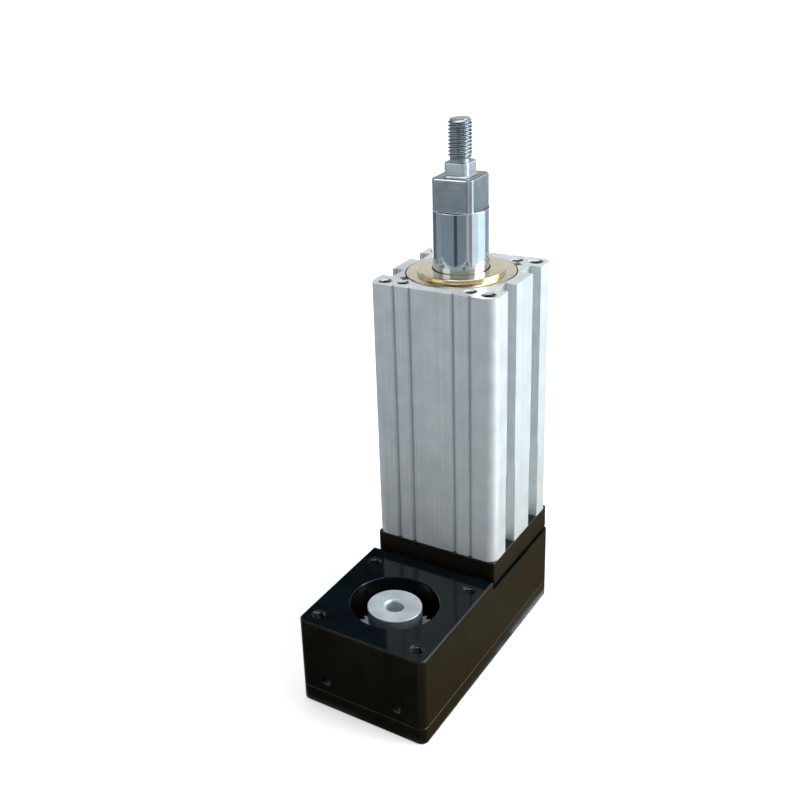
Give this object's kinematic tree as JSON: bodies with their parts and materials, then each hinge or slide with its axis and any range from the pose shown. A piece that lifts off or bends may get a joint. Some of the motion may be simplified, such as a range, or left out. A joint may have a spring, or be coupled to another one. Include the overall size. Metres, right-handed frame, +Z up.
{
  "type": "electric cylinder",
  "caption": "Electric cylinder with a square aluminium tube, chromed rod with threaded stud, and a belt housing that folds the motor mount alongside; no motor fitted.",
  "frame": {"origin": "centre of the underside of the base", "axes": "+Z up along the rod, out of the tube; +Y from the motor end to the rod end; +X across the front, to the right seen from the motor end"},
  "size_m": [0.06, 0.127, 0.237],
  "materials": {
    "black_anodised": "black anodised, milled",
    "natural_anodised": "natural anodised, extruded",
    "machined_aluminium": "turned, bare",
    "turned_brass": "turned, bare",
    "hard_chrome": "ground and chromed",
    "machined_steel": "turned and milled, bare",
    "bearing_steel": "ground and polished",
    "black_steel": "black oxide",
    "belt_rubber": "moulded, matte",
    "seal_rubber": "moulded, matte",
    "bumper_rubber": "cast polyurethane, satin",
    "acetal": "turned, satin",
    "ferrite": "moulded plastic-bonded magnet"
  },
  "bodies": {
    "housing": {"belt_housing": "black_anodised", "base_cover": "black_anodised", "cover_screws": "black_steel", "bearing_block": "black_anodised", "block_dowels": "bearing_steel", "tie_screws": "black_steel", "cylinder_tube": "natural_anodised", "rod_guide": "turned_brass", "rod_seal": "seal_rubber", "upper_bumper": "bumper_rubber", "lower_bumper": "bumper_rubber", "bearing_outer_rings": "bearing_steel", "bearing_retainer": "machined_steel", "retainer_screws": "black_steel", "drive_belt": "belt_rubber"},
    "screw": {"ball_screw": "bearing_steel", "bearing_inner_rings": "bearing_steel", "lock_nut": "machined_steel", "screw_pulley": "machined_aluminium", "screw_pulley_key": "machined_steel", "screw_pulley_flanges": "machined_aluminium", "screw_pulley_snap_ring": "black_steel", "screw_tip_bush": "acetal", "screw_tip_snap_ring": "black_steel"},
    "motor_pulley": {"motor_pulley": "machined_aluminium", "motor_pulley_flange": "machined_aluminium", "motor_pulley_grubs": "black_steel"},
    "rod": {"piston_rod": "hard_chrome", "rod_end_stud": "machined_steel", "nut_carrier": "machined_aluminium", "ball_nut": "bearing_steel", "nut_retaining_ring": "black_steel", "guide_keys": "acetal", "wear_ring": "acetal", "magnet_ring": "ferrite"}
  },
  "joints": [
    {"name": "screw_spin", "type": "hinge", "parent": "housing", "child": "screw", "pos_m": [0, 0.0335, 0.039], "axis": [0, 0, 1], "range_deg": [-1170, 630]},
    {"name": "rod_slide", "type": "slide", "parent": "housing", "child": "rod", "axis": [0, 0, 1], "range_m": [-0.0175, 0.0325]},
    {"name": "motor_pulley_spin", "type": "hinge", "parent": "housing", "child": "motor_pulley", "pos_m": [0, -0.0325, 0.025], "axis": [0, 0, 1], "range_deg": [-1170, 630]}
  ],
  "couplings": [
    {"joint": "screw_spin", "follows": "rod_slide", "rad_per_m": -628.32},
    {"joint": "motor_pulley_spin", "follows": "rod_slide", "rad_per_m": -628.32}
  ]
}
